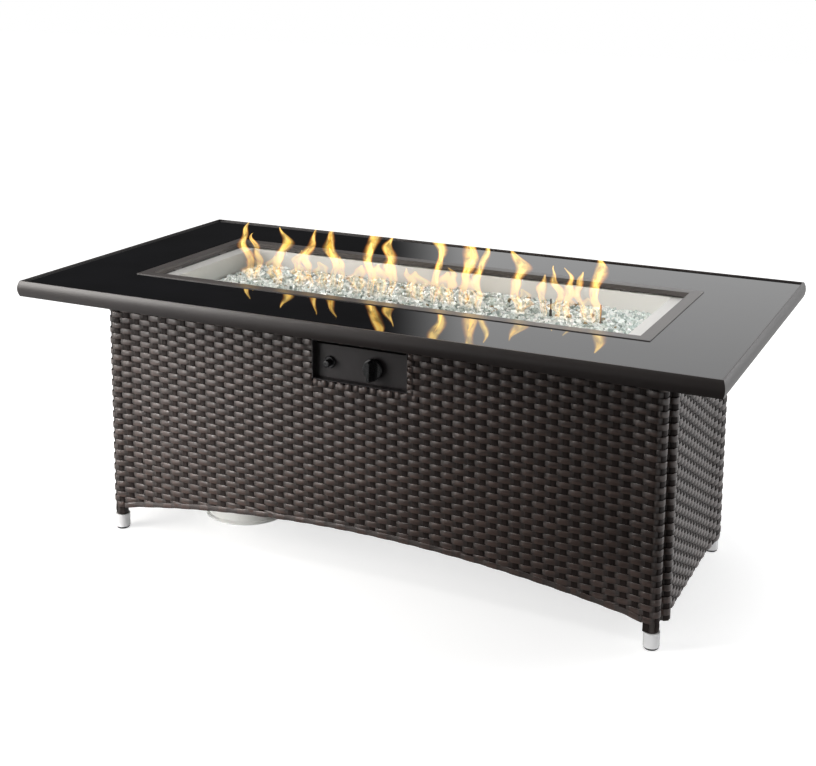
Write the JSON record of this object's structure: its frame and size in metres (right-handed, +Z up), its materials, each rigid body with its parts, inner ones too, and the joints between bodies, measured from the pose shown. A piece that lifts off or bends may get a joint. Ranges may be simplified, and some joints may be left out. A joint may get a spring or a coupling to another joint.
{
  "type": "fire pit table",
  "caption": "Rectangular outdoor table with a glass top, a sunken linear gas burner under crushed glass, and a woven resin base with an arched skirt and an end door.",
  "frame": {"origin": "on the floor under the middle of the table", "axes": "+X to the right along the table as seen from the side with the controls, -Y towards that side, +Z up"},
  "size_m": [1.508, 0.774, 0.584],
  "materials": {
    "rail_bronze": "satin dark bronze powder coat",
    "glass_black": "polished black tempered glass",
    "trim_bronze": "satin dark bronze powder coat",
    "stainless": "brushed stainless steel",
    "fire_glass": "clear crushed fire glass",
    "ceramic_white": "glazed ceramic with a wire",
    "brass": "machined brass",
    "cast_alloy": "die-cast alloy",
    "pipe_alloy": "drawn aluminium pipe",
    "control_black": "satin black sheet",
    "knob_black": "semi-gloss black plastic",
    "resin_weave": "semi-gloss espresso resin strand",
    "frame_paint": "brown powder-coated aluminium",
    "polished_sleeve": "polished metal",
    "foot_rubber": "black rubber",
    "pad_neoprene": "black neoprene",
    "hinge_steel": "zinc-plated steel",
    "cylinder_paint": "pale grey enamel",
    "wheel_plastic": "black moulded plastic"
  },
  "bodies": {
    "table": {"air_mixer": "cast_alloy", "arch_tubes": "frame_paint", "burner_brackets": "stainless", "burner_pan": "stainless", "burner_tube": "stainless", "control_plate": "control_black", "control_surround": "control_black", "corner_keys": "cast_alloy", "cross_rails": "frame_paint", "cylinder_collar": "cylinder_paint", "cylinder_foot": "cylinder_paint", "cylinder_shell": "cylinder_paint", "cylinder_valve": "brass", "door_catch": "wheel_plastic", "end_tubes": "frame_paint", "fire_glass": "fire_glass", "flame_probe": "hinge_steel", "foot_sleeves": "polished_sleeve", "gas_orifice": "brass", "gas_pipe": "pipe_alloy", "gas_valve": "cast_alloy", "glass_pads": "pad_neoprene", "glass_top": "glass_black", "hinge_brackets": "hinge_steel", "igniter_body": "knob_black", "igniter_nut": "knob_black", "leg_plugs": "pad_neoprene", "leg_tubes": "frame_paint", "long_rails": "frame_paint", "pan_ends": "stainless", "pan_spacers": "trim_bronze", "panel_back": "resin_weave", "panel_front": "resin_weave", "panel_right": "resin_weave", "rail_back": "rail_bronze", "rail_front": "rail_bronze", "rail_left": "rail_bronze", "rail_right": "rail_bronze", "spark_rod": "ceramic_white", "top_tubes_long": "frame_paint", "trim_back": "trim_bronze", "trim_front": "trim_bronze", "trim_left": "trim_bronze", "trim_right": "trim_bronze"},
    "knob_carrier": {"stem_collar": "hinge_steel"},
    "knob": {"valve_stem": "hinge_steel", "control_knob": "knob_black"},
    "igniter_button": {"igniter_button": "knob_black"},
    "access_door": {"access_door": "resin_weave", "hinge_pins": "hinge_steel", "strike_plate": "hinge_steel"},
    "handwheel": {"handwheel": "wheel_plastic"},
    "glide_front_left": {"glide_front_left": "foot_rubber"},
    "glide_front_right": {"glide_front_right": "foot_rubber"},
    "glide_back_left": {"glide_back_left": "foot_rubber"},
    "glide_back_right": {"glide_back_right": "foot_rubber"}
  },
  "joints": [
    {"name": "knob_push", "type": "slide", "parent": "table", "child": "knob_carrier", "axis": [0, 1, 0], "range_m": [0, 0.003], "stiffness_N_per_m": 1200, "springref_m": -0.001},
    {"name": "knob_turn", "type": "hinge", "parent": "knob_carrier", "child": "knob", "pos_m": [0.021, -0.24, 0.457], "axis": [0, -1, 0], "range_deg": [0, 180]},
    {"name": "igniter_press", "type": "slide", "parent": "table", "child": "igniter_button", "axis": [0, 1, 0], "range_m": [0, 0.004], "stiffness_N_per_m": 900, "springref_m": -0.001},
    {"name": "door_swing", "type": "hinge", "parent": "table", "child": "access_door", "pos_m": [-0.622, 0.205, 0.28], "axis": [0, 0, -1], "range_deg": [0, 110]},
    {"name": "handwheel_turn", "type": "hinge", "parent": "table", "child": "handwheel", "pos_m": [-0.412, -0.026, 0.424], "axis": [0, 0, 1], "range_deg": [0, 720]},
    {"name": "glide_front_left_screw", "type": "slide", "parent": "table", "child": "glide_front_left", "axis": [0, 0, -1], "range_m": [0, 0.012]},
    {"name": "glide_front_right_screw", "type": "slide", "parent": "table", "child": "glide_front_right", "axis": [0, 0, -1], "range_m": [0, 0.012]},
    {"name": "glide_back_left_screw", "type": "slide", "parent": "table", "child": "glide_back_left", "axis": [0, 0, -1], "range_m": [0, 0.012]},
    {"name": "glide_back_right_screw", "type": "slide", "parent": "table", "child": "glide_back_right", "axis": [0, 0, -1], "range_m": [0, 0.012]}
  ]
}
